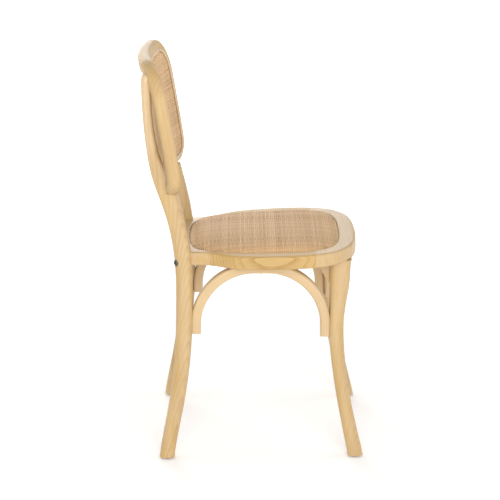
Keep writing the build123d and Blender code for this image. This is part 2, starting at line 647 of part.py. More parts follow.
for name, solids in NODES.items():
    flat = []
    for s in solids:
        flat.extend((shift * s).solids())
    shape = flat[0] if len(flat) == 1 else Compound(children=flat)
    shape.label = name
    export_step(shape, "parts/" + name + ".step")
    lo = [min(q) for q in zip(*[tuple(f.bounding_box().min) for f in flat])]
    hi = [max(q) for q in zip(*[tuple(f.bounding_box().max) for f in flat])]
    print("%-24s solids %2d valid %s vol %9.0f  X %7.1f %7.1f  Y %7.1f %7.1f  Z %7.1f %7.1f" % (
        name, len(flat), all(f.is_valid for f in flat), sum(f.volume for f in flat),
        lo[0], hi[0], lo[1], hi[1], lo[2], hi[2]))
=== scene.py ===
import math
import random

import bpy
from mathutils import Matrix, Vector, noise
from mathutils.bvhtree import BVHTree


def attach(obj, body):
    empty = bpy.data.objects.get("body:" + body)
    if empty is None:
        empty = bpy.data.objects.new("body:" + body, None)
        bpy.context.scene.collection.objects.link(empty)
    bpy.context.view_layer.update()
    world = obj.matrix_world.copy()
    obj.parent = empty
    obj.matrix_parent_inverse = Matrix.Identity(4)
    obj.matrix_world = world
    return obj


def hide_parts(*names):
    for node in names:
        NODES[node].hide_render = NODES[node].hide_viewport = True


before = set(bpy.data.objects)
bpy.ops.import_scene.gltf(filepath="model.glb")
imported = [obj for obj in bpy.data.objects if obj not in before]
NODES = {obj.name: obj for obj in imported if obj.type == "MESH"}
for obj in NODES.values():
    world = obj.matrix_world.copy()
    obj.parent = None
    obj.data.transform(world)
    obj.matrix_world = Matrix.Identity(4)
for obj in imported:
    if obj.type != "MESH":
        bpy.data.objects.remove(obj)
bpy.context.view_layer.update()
SHIFT = 0.061          # mm, the part's footprint is centred by this much in Y


# ------------------------------------------------------------------ node helper
class Graph:
    """Short hand for building shader graphs."""

    def __init__(self, name):
        self.mat = bpy.data.materials.new(name)
        self.mat.use_nodes = True
        self.nt = self.mat.node_tree
        self.bsdf = self.nt.nodes["Principled BSDF"]

    def feed(self, sock, value):
        if isinstance(value, bpy.types.NodeSocket):
            self.nt.links.new(value, sock)
        else:
            sock.default_value = value

    def coords(self):
        return self.nt.nodes.new("ShaderNodeTexCoord").outputs["Object"]

    def math(self, op, a, b=None, c=None, clamp=False):
        n = self.nt.nodes.new("ShaderNodeMath")
        n.operation = op
        n.use_clamp = clamp
        for i, v in enumerate((a, b, c)):
            if v is not None:
                self.feed(n.inputs[i], v)
        return n.outputs[0]

    def vec(self, op, a, b=None):
        n = self.nt.nodes.new("ShaderNodeVectorMath")
        n.operation = op
        self.feed(n.inputs[0], a)
        if b is not None:
            self.feed(n.inputs[1], b)
        return n.outputs["Value"] if op in ("DOT_PRODUCT", "LENGTH", "DISTANCE") else n.outputs["Vector"]

    def split(self, v):
        n = self.nt.nodes.new("ShaderNodeSeparateXYZ")
        self.feed(n.inputs[0], v)
        return n.outputs

    def join(self, x, y, z):
        n = self.nt.nodes.new("ShaderNodeCombineXYZ")
        for i, v in enumerate((x, y, z)):
            self.feed(n.inputs[i], v)
        return n.outputs[0]

    def noise(self, v, scale, detail=2.0, rough=0.5, dims="3D"):
        n = self.nt.nodes.new("ShaderNodeTexNoise")
        n.noise_dimensions = dims
        if dims == "1D":
            self.feed(n.inputs["W"], v)
        else:
            self.feed(n.inputs["Vector"], v)
        n.inputs["Scale"].default_value = scale
        n.inputs["Detail"].default_value = detail
        n.inputs["Roughness"].default_value = rough
        return n.outputs["Fac"]

    def ramp(self, fac, stops):
        """Grey value from a fac through (position, value) stops."""
        n = self.nt.nodes.new("ShaderNodeValToRGB")
        el = n.color_ramp.elements
        while len(el) < len(stops):
            el.new(0.5)
        for e, (p, v) in zip(el, stops):
            e.position = p
            e.color = (v, v, v, 1) if not hasattr(v, "__len__") else (*v, 1)
        self.feed(n.inputs[0], fac)
        return n.outputs["Color"]

    def mix(self, fac, a, b):
        n = self.nt.nodes.new("ShaderNodeMix")
        n.data_type = "RGBA"
        self.feed(n.inputs[0], fac)
        self.feed(n.inputs[6], (*a, 1) if isinstance(a, tuple) else a)
        self.feed(n.inputs[7], (*b, 1) if isinstance(b, tuple) else b)
        return n.outputs[2]

    def bump(self, height, strength, distance):
        n = self.nt.nodes.new("ShaderNodeBump")
        n.inputs["Strength"].default_value = strength
        n.inputs["Distance"].default_value = distance
        self.feed(n.inputs["Height"], height)
        self.nt.links.new(n.outputs["Normal"], self.bsdf.inputs["Normal"])

    def attribute(self, name):
        n = self.nt.nodes.new("ShaderNodeAttribute")
        n.attribute_name = name
        return n.outputs["Fac"]


# -------------------------------------------------------------------- materials
WOOD_LIGHT = (0.586, 0.420, 0.207)
WOOD_DARK = (0.358, 0.211, 0.066)
WOOD_YELLOW = (0.496, 0.316, 0.092)
WOOD_PINK = (0.487, 0.331, 0.167)
WOOD_PALE = (0.640, 0.480, 0.300)


def wood(name, grain, layer, seed, spacing=0.0045, tone=0.0, wobble=0.010, arch=None, lines=1.0, yellow=0.0,
         pale=0.0, painted_highlight_from=None, coat=0.14, shine=0.50):
    """Clear lacquered pale wood. grain is the axis of the fibres, layer the direction
    across the growth rings. An arch bends the fibres round a bentwood strip. pale is the
    share of paler sapwood. If a starting height is also given, the paler colour is put only
    above it, a painted highlight that lightens the upper part of the piece."""
    g = Graph(name)
    co = g.coords()
    x, y, z = g.split(co)
    if arch:
        across, half, lean, top, radius = arch
        a = g.math("SUBTRACT", y, -0.0213) if across == "Y" else x
        a = g.math("ABSOLUTE", a)
        if lean:
            a = g.math("ADD", a, g.math("MULTIPLY", g.math("SUBTRACT", z, top), lean))
        q1 = g.math("MAXIMUM", g.math("SUBTRACT", a, half - radius), 0.0)
        q2 = g.math("MAXIMUM", g.math("SUBTRACT", z, top - radius), 0.0)
        t = g.vec("LENGTH", g.join(q1, q2, 0.0))
        w = x if across == "Y" else y
        along = g.math("ADD", z, y if across == "Y" else x)
        co = g.join(t, w, along)
        grain, layer = (0, 0, 1), (0.75, 0.66, 0.0)
    co = g.vec("ADD", co, (seed * 0.731, seed * 0.417, seed * 0.293))
    slow = tuple(0.10 if k else 1.0 for k in grain)
    fine = tuple(0.012 if k else 1.0 for k in grain)
    dash = tuple(0.045 if k else 1.0 for k in grain)
    slow_v, fine_v, dash_v = g.vec("MULTIPLY", co, slow), g.vec("MULTIPLY", co, fine), g.vec("MULTIPLY", co, dash)
    # growth rings
    n1 = g.noise(slow_v, 16.0, 2.0, 0.5)
    lay = g.vec("DOT_PRODUCT", co, layer)
    lay = g.math("ADD", lay, g.math("MULTIPLY", g.math("SUBTRACT", n1, 0.5), wobble))
    lay = g.math("ADD", lay, g.math("MULTIPLY", g.math("SUBTRACT", g.noise(dash_v, 90.0, 2.0, 0.6), 0.5), 0.0016))
    phase = g.math("DIVIDE", lay, spacing)
    saw = g.math("FRACT", phase)
    late = g.ramp(saw, [(0.0, 0.10), (0.40, 0.16), (0.72, 0.55), (0.90, 1.0), (0.97, 0.55), (1.0, 0.10)])
    vary = g.noise(g.math("FLOOR", phase), 2.37, 0.0, 0.5, "1D")
    vary = g.ramp(vary, [(0.25, 0.25), (0.75, 1.0)])
    late = g.math("MULTIPLY", late, vary)
    # fibres and pores
    fibre = g.noise(fine_v, 900.0, 3.0, 0.65)
    pores = g.ramp(g.noise(dash_v, 1500.0, 1.0, 0.5), [(0.60, 0.0), (0.70, 1.0)])
    broad = g.noise(slow_v, 30.0, 3.0, 0.55)
    # colour
    col = g.mix(g.ramp(broad, [(0.30, 0.0), (0.72, 1.0)]), WOOD_PINK, WOOD_LIGHT)
    col = g.mix(g.math("MULTIPLY", g.ramp(g.noise(slow_v, 52.0, 2.0, 0.5), [(0.45, 0.0), (0.78, 1.0)]), 0.75),
                col, WOOD_YELLOW)
    if yellow:
        col = g.mix(g.math("ADD", g.math("MULTIPLY", broad, yellow), yellow * 0.8), col, WOOD_YELLOW)
    if pale:
        sap_and_highlight = g.math("MULTIPLY", g.math("ADD", broad, 0.5), pale)
        # painted highlight: with a starting height, the paler colour fades in over 0.10 m above it, so the upper
        # part of the piece is painted lighter
        if painted_highlight_from:
            sap_and_highlight = g.math("MULTIPLY", sap_and_highlight, g.ramp(z, [(painted_highlight_from, 0.0), (painted_highlight_from + 0.10, 1.0)]))
        col = g.mix(sap_and_highlight, col, WOOD_PALE)
    depth = g.math("MULTIPLY", late, 0.40 * lines)
    depth = g.math("ADD", depth, g.math("MULTIPLY", g.math("SUBTRACT", fibre, 0.5), 0.42))
    depth = g.math("ADD", depth, g.math("MULTIPLY", pores, 0.17))
    depth = g.math("ADD", depth, 0.10 + tone, clamp=True)
    col = g.mix(depth, col, WOOD_DARK)
    g.feed(g.bsdf.inputs["Base Color"], col)
    rough = g.math("ADD", g.math("MULTIPLY", fibre, 0.16), 0.36)
    g.feed(g.bsdf.inputs["Roughness"], g.math("ADD", rough, g.math("MULTIPLY", pores, 0.12)))
    height = g.math("SUBTRACT", g.math("MULTIPLY", fibre, 0.5), pores)
    height = g.math("ADD", height, g.math("MULTIPLY", late, 0.5))
    g.bump(height, 0.10, 0.0004)
    g.bsdf.inputs["Specular IOR Level"].default_value = shine
    g.bsdf.inputs["Coat Weight"].default_value = coat
    g.bsdf.inputs["Coat Roughness"].default_value = 0.24
    return g.mat


def plywood(name):
    g = Graph(name)
    co = g.coords()
    st = g.vec("MULTIPLY", co, (1.0, 0.05, 1.0))
    st = g.vec("ADD", st, (0.7, 0.2, 0.4))
    lay = g.math("ADD", g.vec("DOT_PRODUCT", co, (1.0, 0.02, 0.0)),
                 g.math("MULTIPLY", g.noise(st, 9.0, 2.0), 0.11))
    saw = g.math("FRACT", g.math("DIVIDE", lay, 0.011))
    late = g.ramp(saw, [(0.0, 0.0), (0.55, 0.3), (0.88, 1.0), (1.0, 0.0)])
    fibre = g.noise(g.vec("MULTIPLY", co, (1.0, 0.015, 1.0)), 700.0, 3.0, 0.6)
    depth = g.math("ADD", g.math("MULTIPLY", late, 0.35), g.math("MULTIPLY", fibre, 0.4))
    g.feed(g.bsdf.inputs["Base Color"], g.mix(depth, (0.66, 0.47, 0.28), (0.43, 0.27, 0.13)))
    g.feed(g.bsdf.inputs["Roughness"], g.math("ADD", g.math("MULTIPLY", fibre, 0.2), 0.6))
    g.bump(fibre, 0.12, 0.0004)
    return g.mat


def rattan(name, along, light=0.0, painted_highlight_band=None):
    """Split rattan strips, along is the scale that stretches the streaks lengthwise. Towards the
    pad's left and right edges, between the two distances from the middle in X that are given,
    the strips are painted lighter, a painted highlight for the lit slopes at the pad's edges."""
    g = Graph(name)
    co = g.coords()
    tone = g.attribute("tone")
    st = g.vec("MULTIPLY", co, along)
    streak = g.noise(st, 1100.0, 3.0, 0.6)
    patch = g.noise(g.vec("ADD", co, (0.31, 0.77, 0.11)), 16.0, 3.0, 0.55)
    fleck = g.ramp(g.noise(st, 240.0, 2.0, 0.5), [(0.66, 0.0), (0.76, 1.0)])
    col = g.mix(g.ramp(tone, [(0.0, 0.0), (1.0, 1.0)]), (0.440, 0.265, 0.118), (0.790, 0.545, 0.300))
    col = g.mix(g.ramp(patch, [(0.32, 0.0), (0.70, 0.45)]), col, (0.660, 0.440, 0.250))
    # painted highlight: the seat strips lighten towards the pad's left and right edges, for the lit slopes there
    if painted_highlight_band:
        side = g.math("ABSOLUTE", g.split(co)[0])
        col = g.mix(g.ramp(side, [(painted_highlight_band[0], 0.0), (painted_highlight_band[1], 0.60)]), col, (0.930, 0.610, 0.310))
    dark = g.math("ADD", g.math("MULTIPLY", g.math("SUBTRACT", streak, 0.42), 0.85),
                  g.math("MULTIPLY", fleck, 0.45))
    dark = g.math("ADD", dark, 0.06 - light, clamp=True)
    col = g.mix(dark, col, (0.330, 0.185, 0.090))
    g.feed(g.bsdf.inputs["Base Color"], col)
    g.feed(g.bsdf.inputs["Roughness"], g.math("ADD", g.math("MULTIPLY", streak, 0.25), 0.40))
    g.bump(streak, 0.18, 0.0002)
    g.bsdf.inputs["Specular IOR Level"].default_value = 0.35
    return g.mat


def reed(name):
    g = Graph(name)
    co = g.coords()
    st = g.noise(g.vec("MULTIPLY", co, (0.2, 0.2, 0.2)), 1400.0, 3.0, 0.6)
    patch = g.noise(co, 40.0, 2.0)
    col = g.mix(g.ramp(patch, [(0.3, 0.0), (0.7, 1.0)]), (0.60, 0.46, 0.30), (0.70, 0.56, 0.39))
    col = g.mix(g.math("MULTIPLY", st, 0.42), col, (0.48, 0.30, 0.15))
    g.feed(g.bsdf.inputs["Base Color"], col)
    g.feed(g.bsdf.inputs["Roughness"], g.math("ADD", g.math("MULTIPLY", st, 0.2), 0.4))
    g.bump(st, 0.15, 0.0003)
    return g.mat


def lining(name):
    """Brown woven cloth under the rattan."""
    g = Graph(name)
    co = g.coords()
    x, y, z = g.split(co)
    wx = g.math("SINE", g.math("MULTIPLY", x, 5200.0))
    wy = g.math("SINE", g.math("MULTIPLY", y, 5200.0))
    w = g.math("MULTIPLY_ADD", g.math("MULTIPLY", wx, wy), 0.5, 0.5)
    n = g.noise(co, 120.0, 3.0)
    col = g.mix(w, (0.19, 0.105, 0.05), (0.31, 0.185, 0.095))
    col = g.mix(g.math("MULTIPLY", n, 0.5), col, (0.23, 0.13, 0.065))
    g.feed(g.bsdf.inputs["Base Color"], col)
    g.feed(g.bsdf.inputs["Roughness"], g.math("ADD", g.math("MULTIPLY", n, 0.15), 0.8))
    g.bump(w, 0.3, 0.0003)
    return g.mat


def metal(name, a, b, rough, metallic):
    g = Graph(name)
    co = g.coords()
    n = g.noise(co, 420.0, 4.0, 0.6)
    m = g.noise(g.vec("MULTIPLY", co, (1.0, 1.0, 0.08)), 2600.0, 2.0, 0.6)
    g.feed(g.bsdf.inputs["Base Color"], g.mix(g.ramp(n, [(0.3, 0.0), (0.7, 1.0)]), a, b))
    g.feed(g.bsdf.inputs["Roughness"], g.math("ADD", g.math("MULTIPLY", m, 0.2), rough))
    g.bsdf.inputs["Metallic"].default_value = metallic
    g.bump(m, 0.08, 0.0002)
    return g.mat


def nylon(name):
    g = Graph(name)
    co = g.coords()
    n = g.noise(co, 900.0, 3.0, 0.6)
    m = g.noise(co, 90.0, 3.0, 0.6)
    g.feed(g.bsdf.inputs["Base Color"], g.mix(m, (0.20, 0.195, 0.185), (0.30, 0.29, 0.275)))
    g.feed(g.bsdf.inputs["Roughness"], g.math("ADD", g.math("MULTIPLY", n, 0.2), 0.42))
    g.bump(n, 0.12, 0.0002)
    return g.mat


def paint(node, mat):
    data = NODES[node].data
    data.materials.clear()
    data.materials.append(mat)


X_, Y_, Z_ = (1, 0, 0), (0, 1, 0), (0, 0, 1)
WOODS = {
    "seat_side_rail_right": (Y_, (-1.0, 0.072, 0.085), 1.3, {"wobble": 0.0035, "lines": 1.9, "yellow": 0.3,
                                                            "coat": 0.03, "shine": 0.22}),
    "seat_side_rail_left": (Y_, (1.0, 0.055, 0.075), 2.9, {"wobble": 0.0045, "lines": 1.8, "yellow": 0.3,
                                                           "coat": 0.03, "shine": 0.22}),
    "seat_front_rail": (X_, (0.03, -1.0, 0.11), 4.1, {"pale": 0.45, "tone": 0.13, "coat": 0.09, "shine": 0.42}),
    "seat_rear_rail": (X_, (0.05, 1.0, 0.16), 5.7, {}),
    # the rear posts' paler colour above 0.60 m is a painted highlight on their upper part
    "rear_post_right": (Z_, (0.86, 0.50, 0.05), 6.3, {"spacing": 0.0052, "wobble": 0.016, "lines": 1.4,
                                                       "pale": 0.75, "painted_highlight_from": 0.60}),
    "rear_post_left": (Z_, (-0.84, 0.54, 0.04), 7.9, {"spacing": 0.0050, "wobble": 0.016, "lines": 1.4,
                                                       "pale": 0.75, "painted_highlight_from": 0.60}),
    "front_leg_right": (Z_, (0.62, 0.78, 0.05), 8.6, {"spacing": 0.0048, "tone": 0.06}),
    "front_leg_left": (Z_, (-0.70, 0.71, 0.04), 9.2, {"spacing": 0.0050, "tone": 0.06}),
    "back_stile_right": (Z_, (0.66, 0.74, -0.125), 10.4, {"lines": 0.75, "spacing": 0.0056, "tone": 0.07,
                                                            "coat": 0.0, "shine": 0.12, "pale": 0.28}),
    "back_stile_left": (Z_, (-0.60, 0.80, -0.135), 11.7, {"lines": 0.75, "spacing": 0.0054, "tone": 0.07,
                                                            "coat": 0.0, "shine": 0.12, "pale": 0.28}),
    "back_top_rail": (X_, (0.04, 0.70, 0.71), 12.8, {"pale": 0.62, "tone": 0.09, "coat": 0.0, "shine": 0.15}),
    "back_bottom_rail": (X_, (0.03, 0.85, 0.52), 13.5, {}),
    "corner_block_left": (Y_, (0.9, 0.05, 0.43), 14.2, {"tone": 0.04}),
    "corner_block_right": (Y_, (-0.9, 0.05, 0.43), 15.6, {"tone": 0.0}),
    "back_screw_plugs": (X_, (0.05, 0.3, 0.95), 16.1, {"tone": 0.07, "spacing": 0.003}),
    "seat_ring_dowels": (Y_, (0.7, 0.05, 0.7), 17.4, {"spacing": 0.003}),
    "back_dowels": (X_, (0.05, 0.7, 0.7), 18.3, {"spacing": 0.003}),
    "post_dowels": (Y_, (0.7, 0.05, 0.7), 19.9, {"spacing": 0.003}),
}
for node, (grain, layer, seed, extra) in WOODS.items():
    paint(node, wood("wood_" + node, grain, layer, seed, **extra))
ARCHES = {
    "side_brace_right": (("Y", 0.1403, 0.0, 0.422, 0.129), 21.3),
    "side_brace_left": (("Y", 0.1403, 0.0, 0.422, 0.129), 22.8),
    "front_brace": (("X", 0.1166, 0.138, 0.426, 0.104), 23.7),
    "rear_brace": (("X", 0.1194, 0.155, 0.417, 0.104), 24.4),
}
for node, (arch, seed) in ARCHES.items():
    paint(node, wood("bent_" + node, Z_, X_, seed, spacing=0.0040, wobble=0.004, arch=arch, lines=0.8, tone=-0.13,
                     pale=0.38))
paint("seat_panel", plywood("plywood"))
paint("back_spline", reed("reed_strip"))
zinc = metal("zinc_steel", (0.50, 0.50, 0.48), (0.66, 0.65, 0.62), 0.26, 1.0)
for node in ("seat_panel_screws", "brace_end_screws", "brace_crown_screws", "corner_block_screws",
             "back_screws", "post_insert_nuts", "post_bolt_washers"):
    paint(node, zinc)
paint("post_bolts", metal("dark_steel", (0.085, 0.087, 0.090), (0.150, 0.150, 0.152), 0.34, 0.6))
paint("foot_glides", nylon("grey_nylon"))

# ------------------------------------------------------------- shape of the pad
SEAT_TILT, SEAT_REF_Y, SEAT_HEIGHT = 1.9, -30.0, 460.5
REBATE, PAD_GAP, WEAVE_T, DOME = 14.0, 1.6, 1.6, 15.0
PAD_OUTER = [(0, -198.5), (60, -197.5), (105, -192.5), (135, -183), (157, -165),
             (170.5, -139), (176, -100), (176, -50), (173, -5), (167, 38),
             (159.5, 66), (150.5, 87), (138, 106), (121, 121), (103, 128.5), (68, 135), (0, 138)]
PAD_C = (0.0, -31.0)
seat_m = (Matrix.Translation((0, (SEAT_REF_Y + SHIFT) / 1000, SEAT_HEIGHT / 1000))
          @ Matrix.Rotation(math.radians(-SEAT_TILT), 4, "X"))


def to_seat(x, y, z):
    """Seat millimetres, Y as on the drawing, to metres in the chair's frame."""
    return seat_m @ Vector((x / 1000, (y - SEAT_REF_Y) / 1000, z / 1000))


def catmull(p0, p1, p2, p3, t):
    return tuple(0.5 * (2 * b + (c - a) * t + (2 * a - 5 * b + 4 * c - d) * t * t + (3 * b - a - 3 * c + d) * t ** 3)
                 for a, b, c, d in zip(p0, p1, p2, p3))


def pad_outline():
    half = [(float(a), float(b)) for a, b in PAD_OUTER]
    pts = half + [(-a, b) for a, b in reversed(half[1:-1])]
    out = []
    n = len(pts)
    for i in range(n):
        for k in range(12):
            out.append(catmull(pts[i - 1], pts[i], pts[(i + 1) % n], pts[(i + 2) % n], k / 12))
    return out


OUTLINE = pad_outline()
_polar = sorted((math.atan2(y - PAD_C[1], x), math.hypot(x, y - PAD_C[1])) for x, y in OUTLINE)


def outline_r(a):
    """Distance of the pad's rebate from the pad's middle, towards an angle."""
    lo, hi = 0, len(_polar) - 1
    if a <= _polar[0][0] or a >= _polar[-1][0]:
        a0, r0 = _polar[-1]
        a1, r1 = _polar[0]
        a1 += 2 * math.pi
        if a <= _polar[0][0]:
            a += 2 * math.pi
        return r0 + (r1 - r0) * (a - a0) / (a1 - a0)
    while hi - lo > 1:
        mid = (lo + hi) // 2
        if _polar[mid][0] <= a:
            lo = mid
        else:
            hi = mid
    (a0, r0), (a1, r1) = _polar[lo], _polar[hi]
    return r0 + (r1 - r0) * (a - a0) / (a1 - a0)


CROWN = [(0.0, 15.0), (0.18, 14.95), (0.36, 14.6), (0.52, 14.0), (0.66, 13.0), (0.78, 11.5), (0.87, 9.5),
         (0.93, 7.1), (0.965, 4.8), (0.988, 2.4), (1.0, 0.2)]


def crown(k):
    for (k0, z0), (k1, z1) in zip(CROWN, CROWN[1:]):
        if k <= k1:
            t = (k - k0) / (k1 - k0)
            return z0 + (z1 - z0) * t
    return CROWN[-1][1]


# ------------------------------------------------------------ pad, padded lining
def new_mesh(name, verts, faces, mat, smooth=True):
    me = bpy.data.meshes.new(name)
    me.from_pydata(verts, [], faces)
    me.update()
    if smooth:
        me.polygons.foreach_set("use_smooth", [True] * len(me.polygons))
    me.materials.append(mat)
    ob = bpy.data.objects.new(name, me)
    bpy.context.scene.collection.objects.link(ob)
    return ob


SIDE_IN = PAD_GAP + WEAVE_T + 0.3
N_ANG = 144
KS = [0.06, 0.14, 0.22, 0.30, 0.38, 0.46, 0.54, 0.62, 0.70, 0.77, 0.83, 0.88, 0.92, 0.95, 0.972, 0.988, 1.0]


def pad_mesh(name, swell):
    """Closed crowned pad, fan of rings round its middle."""
    rows = [(k, swell * crown(k) - WEAVE_T) for k in KS]
    rows += [(1.0, -2.8), (0.998, -4.6)]
    verts = [to_seat(PAD_C[0], PAD_C[1], swell * crown(0.0) - WEAVE_T)]
    for k, z in rows:
        for i in range(N_ANG):
            a = -math.pi + 2 * math.pi * i / N_ANG
            r = (outline_r(a) - SIDE_IN) * k
            verts.append(to_seat(PAD_C[0] + r * math.cos(a), PAD_C[1] + r * math.sin(a), z))
    verts.append(to_seat(PAD_C[0], PAD_C[1], -4.6))
    faces = [(0, 1 + i, 1 + (i + 1) % N_ANG) for i in range(N_ANG)]
    for j in range(len(rows) - 1):
        b0, b1 = 1 + j * N_ANG, 1 + (j + 1) * N_ANG
        for i in range(N_ANG):
            i2 = (i + 1) % N_ANG
            faces.append((b0 + i, b1 + i, b1 + i2, b0 + i2))
    last = 1 + (len(rows) - 1) * N_ANG
    faces += [(last + i, len(verts) - 1, last + (i + 1) % N_ANG) for i in range(N_ANG)]
    return new_mesh(name, verts, faces, lining_mat), 1 + (len(KS) - 2) * N_ANG


lining_mat = lining("brown_lining")
pad, n_free = pad_mesh("seat_pad", 0.86)
target = [v.co.copy() for v in pad_mesh("pad_shape", 1.0)[0].data.vertices]
bpy.data.objects.remove(bpy.data.objects["pad_shape"], do_unlink=True)
start = [v.co.copy() for v in pad.data.vertices]
vg = pad.vertex_groups.new(name="held")
vg.add(list(range(n_free, len(start))), 1.0, "REPLACE")
cl = pad.modifiers.new("cloth", "CLOTH")
cs = cl.settings
cs.quality = 6
cs.mass = 0.4
cs.tension_stiffness = cs.compression_stiffness = 18
cs.shear_stiffness = 8
cs.bending_stiffness = 2.0
cs.use_pressure = True
cs.uniform_pressure_force = 4.0
cs.vertex_group_mass = "held"
cs.effector_weights.gravity = 0
scene = bpy.context.scene
scene.frame_start, scene.frame_end = 1, 20
for f in range(1, 21):
    scene.frame_set(f)
dg = bpy.context.evaluated_depsgraph_get()
ev = pad.evaluated_get(dg)
swollen = [v.co.copy() for v in ev.data.vertices]
pad.modifiers.remove(cl)
scene.frame_set(1)
UP = (seat_m.to_3x3() @ Vector((0, 0, 1))).normalized()
for i, v in enumerate(pad.data.vertices):
    d = swollen[i] - start[i]
    if d.length > 0.005:                                   # no point moves further than 5 mm
        d = d * (0.005 / d.length)
    p = start[i] + d
    # the swollen skin is drawn to the height of the pad in its ring
    lift = (target[i] - p).dot(UP)
    v.co = p + UP * (lift * 0.85)
    if i < n_free:
        v.co += UP * 0.0005 * noise.noise(start[i] * 22.0)
pad.data.update()
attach(pad, "root")
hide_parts("seat_foam")
bvh_pad = BVHTree.FromObject(pad, bpy.context.evaluated_depsgraph_get())


# ------------------------------------------------------------------ woven strips
def weave(name, lines, half_w, thick, mat, seed):
    """Closed flat strips. Each line is a list of (point, normal, side)."""
    rnd = random.Random(seed)
    verts, faces, tones, uvs = [], [], [], []
    total = len(lines)
    for li, line in enumerate(lines):
        tone = min(1.0, max(0.0, rnd.gauss(0.55, 0.33)))
        w = half_w * rnd.uniform(0.94, 1.04)
        base = len(verts)
        n = len(line)
        for p, nrm, side in line:
            verts.append(p - side * w)
            verts.append(p - side * w * 0.55 + nrm * thick * 0.5)
            verts.append(p + side * w * 0.55 + nrm * thick * 0.5)
            verts.append(p + side * w)
            verts.append(p - nrm * thick * 0.5)
            tones += [tone] * 5
        for k in range(n - 1):
            a, b = base + 5 * k, base + 5 * (k + 1)
            for j in range(5):
                j2 = (j + 1) % 5
                faces.append((a + j, a + j2, b + j2, b + j))
                u0, u1 = k / (n - 1), (k + 1) / (n - 1)
                v0, v1 = (li + (j + 0.1) / 5) / total, (li + (j + 0.9) / 5) / total
                uvs += [(u0, v0), (u0, v1), (u1, v1), (u1, v0)]
        for cap in (tuple(base + j for j in (4, 3, 2, 1, 0)), tuple(base + 5 * (n - 1) + j for j in range(5))):
            faces.append(cap)
            uvs += [(0.0, li / total)] * 5
    ob = new_mesh(name, verts, faces, mat)
    at = ob.data.attributes.new("tone", "FLOAT", "POINT")
    at.data.foreach_set("value", tones)
    uv = ob.data.uv_layers.new(name="OFBake")
    uv.data.foreach_set("uv", [c for q in uvs for c in q])
    return ob


PITCH, STRIP_HALF, STRIP_T, RISE = 4.4, 1.74, 0.80, 0.46
RIM_GAP = 1.0           # mm between the ring and the middle of a strip that turns down
# the seat strips are painted lighter 138 to 172 mm out from the middle in X, a painted highlight at the pad's edges
rattan_y = rattan("rattan_lengthwise", (1.0, 0.035, 0.3), painted_highlight_band=(0.138, 0.172))
rattan_x = rattan("rattan_crosswise", (0.035, 1.0, 0.3), 0.02, painted_highlight_band=(0.138, 0.172))


def pad_hit(x, y):
    """Point of the pad's skin and its normal under seat coordinates."""
    o = to_seat(x, y, 60.0)
    hit = bvh_pad.ray_cast(o, -UP)
    if hit[0] is None:
        return None
    return hit[0], hit[1]


def smooth_normal(x, y):
    """Normal of the skin, averaged over its neighbourhood."""
    h = 2.0
    a, b = pad_hit(x - h, y), pad_hit(x + h, y)
    c, d = pad_hit(x, y - h), pad_hit(x, y + h)
    if None in (a, b, c, d):
        q = pad_hit(x, y)
        return q[1] if q else UP
    return (b[0] - a[0]).cross(d[0] - c[0]).normalized()


def spaced(axis):
    """Positions of the strips along an axis of the seat, a pitch apart on the skin."""
    out = []
    for sign in (1, -1):
        s, q, prev, nxt = 0.0, 0.0, None, PITCH if sign > 0 else PITCH
        while q < 220:
            p = (sign * q, PAD_C[1]) if axis == 0 else (0.0, PAD_C[1] + sign * q)
            hit = pad_hit(*p)
            if hit is None:
                break
            if prev is not None:
                s += (hit[0] - prev).length * 1000
            prev = hit[0]
            if s >= nxt - 1e-6:
                out.append(sign * q)
                nxt += PITCH
            q += 0.25
    out.append(0.0)
    return sorted(out)


XS = spaced(0)
YS = [PAD_C[1] + q for q in spaced(1)]


def room(x, y, along_y):
    """Millimetres left between a strip's end and the ring, along the strip."""
    left = 99.0
    for s in (-STRIP_HALF * 1.05, 0.0, STRIP_HALF * 1.05):
        px, py = ((x + s, y) if along_y else (x, y + s))
        dx, dy = px - PAD_C[0], py - PAD_C[1]
        r = math.hypot(dx, dy)
        lean = max(0.30, abs(dy if along_y else dx) / max(r, 1e-6))
        left = min(left, (outline_r(math.atan2(dy, dx)) - RIM_GAP - r) / lean)
    return left


def seat_lines(along_y):
    """Strips over the pad; the ends turn down into the groove round it."""
    lines = []
    fixed, free = (XS, YS) if along_y else (YS, XS)
    for i, c in enumerate(fixed):
        pts = []
        for j, q in enumerate(free):
            prev = free[j - 1] if j else q - PITCH
            nxt = free[j + 1] if j + 1 < len(free) else q + PITCH
            over = ((i + j) % 2 == 0) == along_y
            for t in (q - (q - prev) * 0.27, q + (nxt - q) * 0.27):
                x, y = (c, t) if along_y else (t, c)
                hit = pad_hit(x, y)
                if hit is None or room(x, y, along_y) < 0.25:
                    continue
                pts.append((x, y, hit[0], over))
        if len(pts) < 6:
            continue
        line = []
        for x, y, p, over in pts:
            n = smooth_normal(x, y)
            t_dir = (seat_m.to_3x3() @ Vector((0, 1, 0) if along_y else (1, 0, 0)))
            t_dir = (t_dir - n * t_dir.dot(n)).normalized()
            side = t_dir.cross(n).normalized()
            up = WEAVE_T / 2 + 0.10 + (RISE if over else -RISE)
            line.append([p + n * up / 1000, n, side])
        # ends: round the rim and down beside the pad
        for end in (0, -1):
            p, n, side = line[end]
            inner = line[1 if end == 0 else -2][0]
            out_dir = p - inner
            out_dir = (out_dir - UP * out_dir.dot(UP)).normalized()
            gap = max(0.0002, min(0.005, room(pts[end][0], pts[end][1], along_y) / 1000))
            q0 = p + out_dir * gap
            low = []
            for drop in (1.6, 6.5):
                pt = q0 - UP * max(0.0004, (q0 - to_seat(0, 0, 0)).dot(UP) * 0.5 if drop < 3 else
                                   (q0 - to_seat(0, 0, 0)).dot(UP) + 0.0055)
                low.append([pt, out_dir, side])
            line = list(reversed(low)) + line if end == 0 else line + low
        lines.append([tuple(s) for s in line])
    return lines


